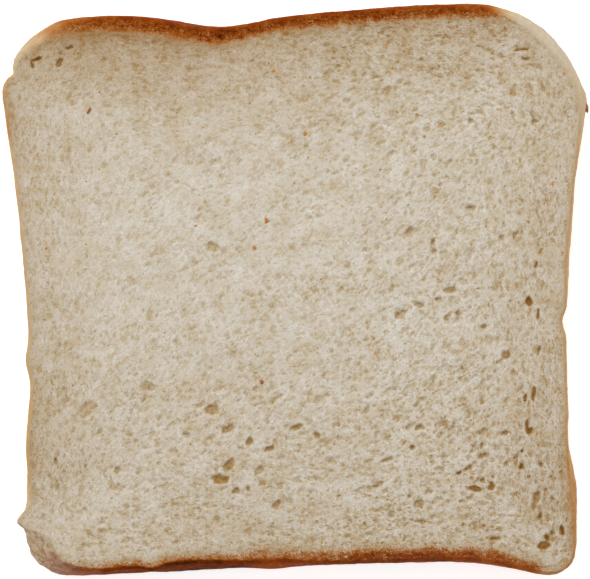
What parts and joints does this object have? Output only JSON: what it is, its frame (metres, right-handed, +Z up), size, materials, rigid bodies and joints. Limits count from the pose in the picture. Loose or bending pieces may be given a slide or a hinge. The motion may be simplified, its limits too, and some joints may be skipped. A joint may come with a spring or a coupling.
{
  "type": "bread slice",
  "caption": "slice of white tin bread with a browned crown and base crust, pale sides and an open crumb, lying flat on a cut face",
  "frame": {"origin": "middle of the underside of the slice as it lies flat, at the centre of its bounding box", "axes": "+Z up through the slice's thickness, +Y to the loaf's crown, +X to the loaf's right side as the upper cut face is seen"},
  "size_m": [0.1174, 0.1146, 0.013],
  "materials": {
    "baked_bread": "matte"
  },
  "bodies": {
    "root": {"bread_slice": "baked_bread"}
  },
  "joints": []
}
